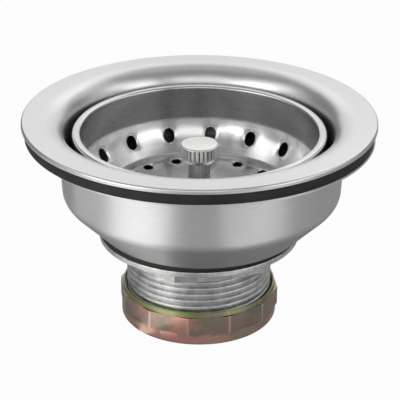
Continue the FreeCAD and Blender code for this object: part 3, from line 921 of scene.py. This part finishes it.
class DRAIN_OT_finishes(bpy.types.Operator):
    """Give every piece its finish"""

    bl_idname = "drain.finishes"
    bl_label = "Finishes"

    def execute(self, context):
        shades = colours()
        # Painted shade inside the bowl, below its throat.
        brushed_steel(
            "satin_flange_steel", shades.flange, roughness=0.34, anisotropy=0.5, marks=0.4,
            painted_shade_band=PaintedShadeBand(start=62.0, end=56.0, share=0.14, outer_marks=1.0, top=80.0),
        ).dress("bowl_pressing")
        # Painted shade low on the cup, on its cone.
        brushed_steel(
            "drawn_cup_steel", shades.cup, roughness=0.36, anisotropy=0.75, marks=0.15,
            painted_shade_band=PaintedShadeBand(start=46.5, end=42.0, share=0.58, outer_marks=1.0, top=60.0),
        ).dress("cup_pressing")
        basket_steel("basket_steel", shades).dress("basket_pressing", skin=0)
        # The basket's outer skin is dark in colour as painted shade.
        dull_steel("basket_outer_steel", shades.under).dress("basket_pressing", skin=1)
        brushed_steel(
            "turned_steel", shades.turned, roughness=0.24, anisotropy=0.4, marks=0.05, rings=0.08,
        ).dress("stopper_plate_disc", "stopper_washer_disc", "stopper_nut_hexagon")
        knob_steel("knob_steel", shades).dress("knob_turning")
        # The post's broad vertical streaks of lighter colour are partly brush marks and partly a
        # painted reflection.
        brushed_steel(
            "post_steel", shades.post, roughness=0.3, anisotropy=0.4, marks=0.9, lean=0.0,
            fineness=14.0).dress("post_turning")
        rubber("black_rubber", shades.rubber).dress(
            "gasket_moulding", "washer_moulding", "seal_moulding", "stopper_moulding",
            "grip_ring_moulding")
        cast_zinc("thread_zinc", shades.thread, roughness=0.32, grit=0.2).dress("spud_casting")
        cast_zinc("locknut_zinc", shades.locknut, roughness=0.34, grit=0.7).dress(
            "locknut_casting")
        plating("yellow_plating", shades).dress("coupling_nut_casting")
        polymer = Finish("white_polymer", Base_Color=shaded(shades.polymer, 1.0))
        x, y, z = polymer.place()
        polymer.set(Roughness=0.4 + polymer.noise(polymer.point(x, y, z), scale=900.0) * 0.3)
        polymer.dress("tail_washer_moulding")
        return {"FINISHED"}


class DRAIN_OT_stage(bpy.types.Operator):
    """Set the floor, the soft lights and the camera"""

    bl_idname = "drain.stage"
    bl_label = "Stage"

    MIDDLE = Vector((0, 0, 0.04))        # of the drain, which the soft lights face
    CAMERA_DISTANCE = 0.55               # from the middle of the flange's top
    CAMERA_ELEVATION = math.radians(22.176)
    CAMERA_PITCH = math.radians(24.981)  # how far it looks down
    CAMERA_ROLL = math.radians(0.279)
    FLOOR_WHITENESS = 0.97               # share of plain white that the camera sees
    WORLD_WHITENESS = 0.98
    WORLD_LIGHT = 0.18                   # what the world gives to everything but the camera
    MIRRORED_SHARE = 0.04                # of the white, in what metal shows of it

    def execute(self, context):
        scene = context.scene
        scene.view_settings.view_transform = "Standard"
        self.add_camera(scene)
        self.add_floor()
        self.set_world(scene)
        for name, radiance, width, height, bearing, elevation, distance in SOFTBOXES:
            aim = direction(bearing, elevation)
            self.add_softbox(name, radiance, width, height, self.MIDDLE + aim * distance, aim)
        for name, radiance, width, height, bearing, reach in CARDS:
            spot = direction(bearing, 0) * reach
            spot.z = CARD_LEVEL
            self.add_softbox(name, radiance, width, height, spot, direction(bearing, -90))
        return {"FINISHED"}

    def add_camera(self, scene):
        lens = bpy.data.cameras.new("camera")
        lens.sensor_width = 36.0
        lens.lens = 154.19
        lens.shift_x = 0.00215
        camera = bpy.data.objects.new("camera", lens)
        scene.collection.objects.link(camera)
        spot = Vector((0, -math.cos(self.CAMERA_ELEVATION), math.sin(self.CAMERA_ELEVATION)))
        spot *= self.CAMERA_DISTANCE
        spot.z += FLANGE_TOP
        tilt = Matrix.Rotation(math.pi / 2 - self.CAMERA_PITCH, 4, "X")
        roll = Matrix.Rotation(self.CAMERA_ROLL, 4, "Z")
        camera.matrix_world = Matrix.Translation(spot) @ tilt @ roll
        scene.camera = camera

    def add_floor(self):
        bpy.ops.object.select_all(action="DESELECT")
        bpy.ops.mesh.primitive_plane_add(size=8.0, location=(0, 0, 0))
        floor = bpy.context.active_object
        floor.name = "floor"
        paint = Finish("pale_floor", Base_Color=shaded(colours().floor, 1.0), Roughness=0.9)
        tree = paint.tree
        glow = tree.nodes.new("ShaderNodeEmission")
        glow.inputs["Strength"].default_value = 1.0
        rays = tree.nodes.new("ShaderNodeLightPath")
        blend = tree.nodes.new("ShaderNodeMixShader")
        camera = Value(paint, rays.outputs["Is Camera Ray"])
        glossy = Value(paint, rays.outputs["Is Glossy Ray"])
        through = Value(paint, rays.outputs["Is Transmission Ray"])
        white = camera * self.FLOOR_WHITENESS + (glossy + through) * self.MIRRORED_SHARE
        paint.link(white.clamped(), blend.inputs[0])
        tree.links.new(paint.shader.outputs[0], blend.inputs[1])
        tree.links.new(glow.outputs[0], blend.inputs[2])
        tree.links.new(blend.outputs[0], tree.nodes["Material Output"].inputs["Surface"])
        floor.data.materials.append(paint.material)

    def set_world(self, scene):
        world = bpy.data.worlds.new("studio")
        world.use_nodes = True
        scene.world = world
        tree = world.node_tree
        backdrop = tree.nodes["Background"]
        backdrop.inputs["Color"].default_value = (1.0, 1.0, 1.0, 1.0)
        backdrop.inputs["Strength"].default_value = self.WORLD_LIGHT
        white = tree.nodes.new("ShaderNodeBackground")
        white.inputs["Color"].default_value = (1.0, 1.0, 1.0, 1.0)
        white.inputs["Strength"].default_value = self.WORLD_WHITENESS
        rays = tree.nodes.new("ShaderNodeLightPath")
        blend = tree.nodes.new("ShaderNodeMixShader")
        seen = tree.nodes.new("ShaderNodeMath")
        seen.operation = "ADD"
        tree.links.new(rays.outputs["Is Glossy Ray"], seen.inputs[0])
        tree.links.new(rays.outputs["Is Transmission Ray"], seen.inputs[1])
        share = tree.nodes.new("ShaderNodeMath")
        share.operation = "MULTIPLY_ADD"
        share.use_clamp = True
        share.inputs[1].default_value = self.MIRRORED_SHARE
        tree.links.new(seen.outputs[0], share.inputs[0])
        tree.links.new(rays.outputs["Is Camera Ray"], share.inputs[2])
        tree.links.new(share.outputs[0], blend.inputs[0])
        tree.links.new(backdrop.outputs[0], blend.inputs[1])
        tree.links.new(white.outputs[0], blend.inputs[2])
        tree.links.new(blend.outputs[0], tree.nodes["World Output"].inputs["Surface"])

    def add_softbox(self, name, radiance, width, height, spot, away):
        """A lit rectangle at a spot, which faces against the away direction."""
        lamp = bpy.data.lights.new(name, "AREA")
        lamp.shape = "RECTANGLE"
        lamp.energy = math.pi * radiance * width * height
        lamp.size = width
        lamp.size_y = height
        softbox = bpy.data.objects.new(name, lamp)
        softbox.visible_camera = False
        bpy.context.scene.collection.objects.link(softbox)
        turned = away.to_track_quat("Z", "Y").to_matrix().to_4x4()
        softbox.matrix_world = Matrix.Translation(spot) @ turned


def direction(bearing, elevation):
    """The way that a bearing and an elevation in degrees point."""
    around, up = math.radians(bearing), math.radians(elevation)
    return Vector((math.cos(around) * math.cos(up), math.sin(around) * math.cos(up), math.sin(up)))


# soft lights: name, brightness, width, height, bearing and elevation in degrees, distance
SOFTBOXES = [
    ("back_low_softbox", 0.64, 0.95, 0.36, 85.0, 17.0, 0.8),
    ("back_high_softbox", 1.0, 0.9, 0.45, 90.0, 42.0, 0.9),
    ("left_softbox", 2.9, 0.6, 0.36, 222.0, 13.0, 0.8),
    ("left_side_softbox", 0.38, 0.45, 0.7, 178.0, 28.0, 0.85),
    ("right_softbox", 1.5, 0.45, 0.36, 322.0, 13.0, 0.8),
    ("right_side_softbox", 0.38, 0.45, 0.7, 5.0, 28.0, 0.85),
    ("back_right_softbox", 0.48, 0.55, 0.45, 45.0, 42.0, 0.9),
    ("front_softbox", 1.15, 0.8, 0.5, 270.0, 27.0, 0.9),
    ("front_left_softbox", 1.0, 0.7, 0.35, 205.0, 30.0, 0.9),
    ("front_right_softbox", 1.0, 0.7, 0.35, 335.0, 30.0, 0.9),
    ("top_softbox", 0.35, 0.8, 0.6, 90.0, 80.0, 1.0),
]
# cards that lie on the floor and light the cup from below: name, brightness, width, depth,
# bearing in degrees, distance from the axis
CARDS = [
    ("left_card", 0.92, 0.13, 0.11, 226.0, 0.15),
    ("left_edge_card", 0.38, 0.09, 0.11, 184.0, 0.15),
    ("right_card", 0.46, 0.13, 0.11, 308.0, 0.15),
    ("near_left_card", 0.65, 0.07, 0.04, 215.0, 0.064),
]
CARD_LEVEL = 0.5 * MM


OPERATORS = [
    DRAIN_OT_sheets, DRAIN_OT_spud, DRAIN_OT_nuts, DRAIN_OT_basket, DRAIN_OT_turned_pieces,
    DRAIN_OT_moulded_pieces, DRAIN_OT_finishes, DRAIN_OT_stage]


class DRAIN_PT_panel(bpy.types.Panel):
    bl_idname = "DRAIN_PT_panel"
    bl_label = "Sink drain"
    bl_space_type = "VIEW_3D"
    bl_region_type = "UI"
    bl_category = "Drain"

    def draw(self, context):
        for operator in OPERATORS:
            self.layout.operator(operator.bl_idname)


CLASSES = [DrainSizes, DrainColours] + OPERATORS + [DRAIN_PT_panel]


def register():
    for cls in CLASSES:
        bpy.utils.register_class(cls)
    bpy.types.Scene.drain_sizes = bpy.props.PointerProperty(type=DrainSizes)
    bpy.types.Scene.drain_colours = bpy.props.PointerProperty(type=DrainColours)


def unregister():
    del bpy.types.Scene.drain_colours
    del bpy.types.Scene.drain_sizes
    for cls in reversed(CLASSES):
        bpy.utils.unregister_class(cls)


def main():
    register()
    bpy.ops.drain.sheets()
    bpy.ops.drain.spud()
    bpy.ops.drain.nuts()
    bpy.ops.drain.basket()
    bpy.ops.drain.turned_pieces()
    bpy.ops.drain.moulded_pieces()
    bpy.ops.drain.finishes()
    bpy.ops.drain.stage()


if __name__ == "__main__":
    main()
